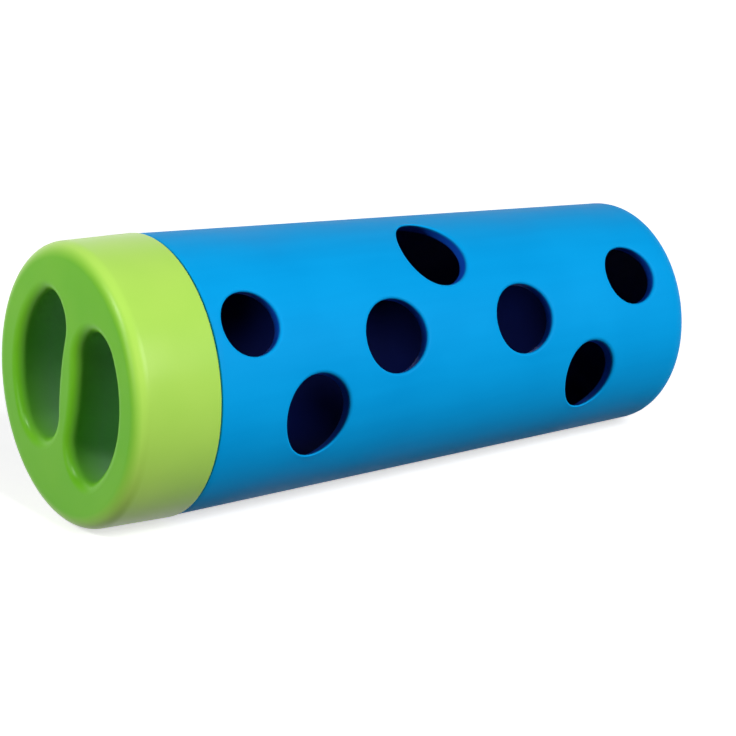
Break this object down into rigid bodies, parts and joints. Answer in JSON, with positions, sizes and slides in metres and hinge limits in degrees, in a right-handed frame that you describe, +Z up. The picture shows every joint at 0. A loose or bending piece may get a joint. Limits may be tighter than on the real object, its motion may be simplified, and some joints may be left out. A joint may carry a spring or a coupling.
{
  "type": "treat dispensing roller",
  "caption": "Tapered roller toy: a perforated blue tube closed at its narrow end, with a green push-on cap whose finger pockets leave a pinch bar; treats drop out as it rolls.",
  "frame": {"origin": "middle of the bounding box at floor level, with the roller lying on its side", "axes": "+X along the roller from the cap to the closed end, +Y away from the viewer's side, +Z up"},
  "size_m": [0.1492, 0.06, 0.0606],
  "materials": {
    "tube_plastic": "satin moulded",
    "cap_plastic": "satin moulded"
  },
  "bodies": {
    "tube": {"roller_tube": "tube_plastic"},
    "cap": {"grip_cap": "cap_plastic"}
  },
  "joints": [
    {"name": "cap_pull", "type": "slide", "parent": "tube", "child": "cap", "axis": [-0.9992, 0, 0.0409], "range_m": [0, 0.06]}
  ]
}
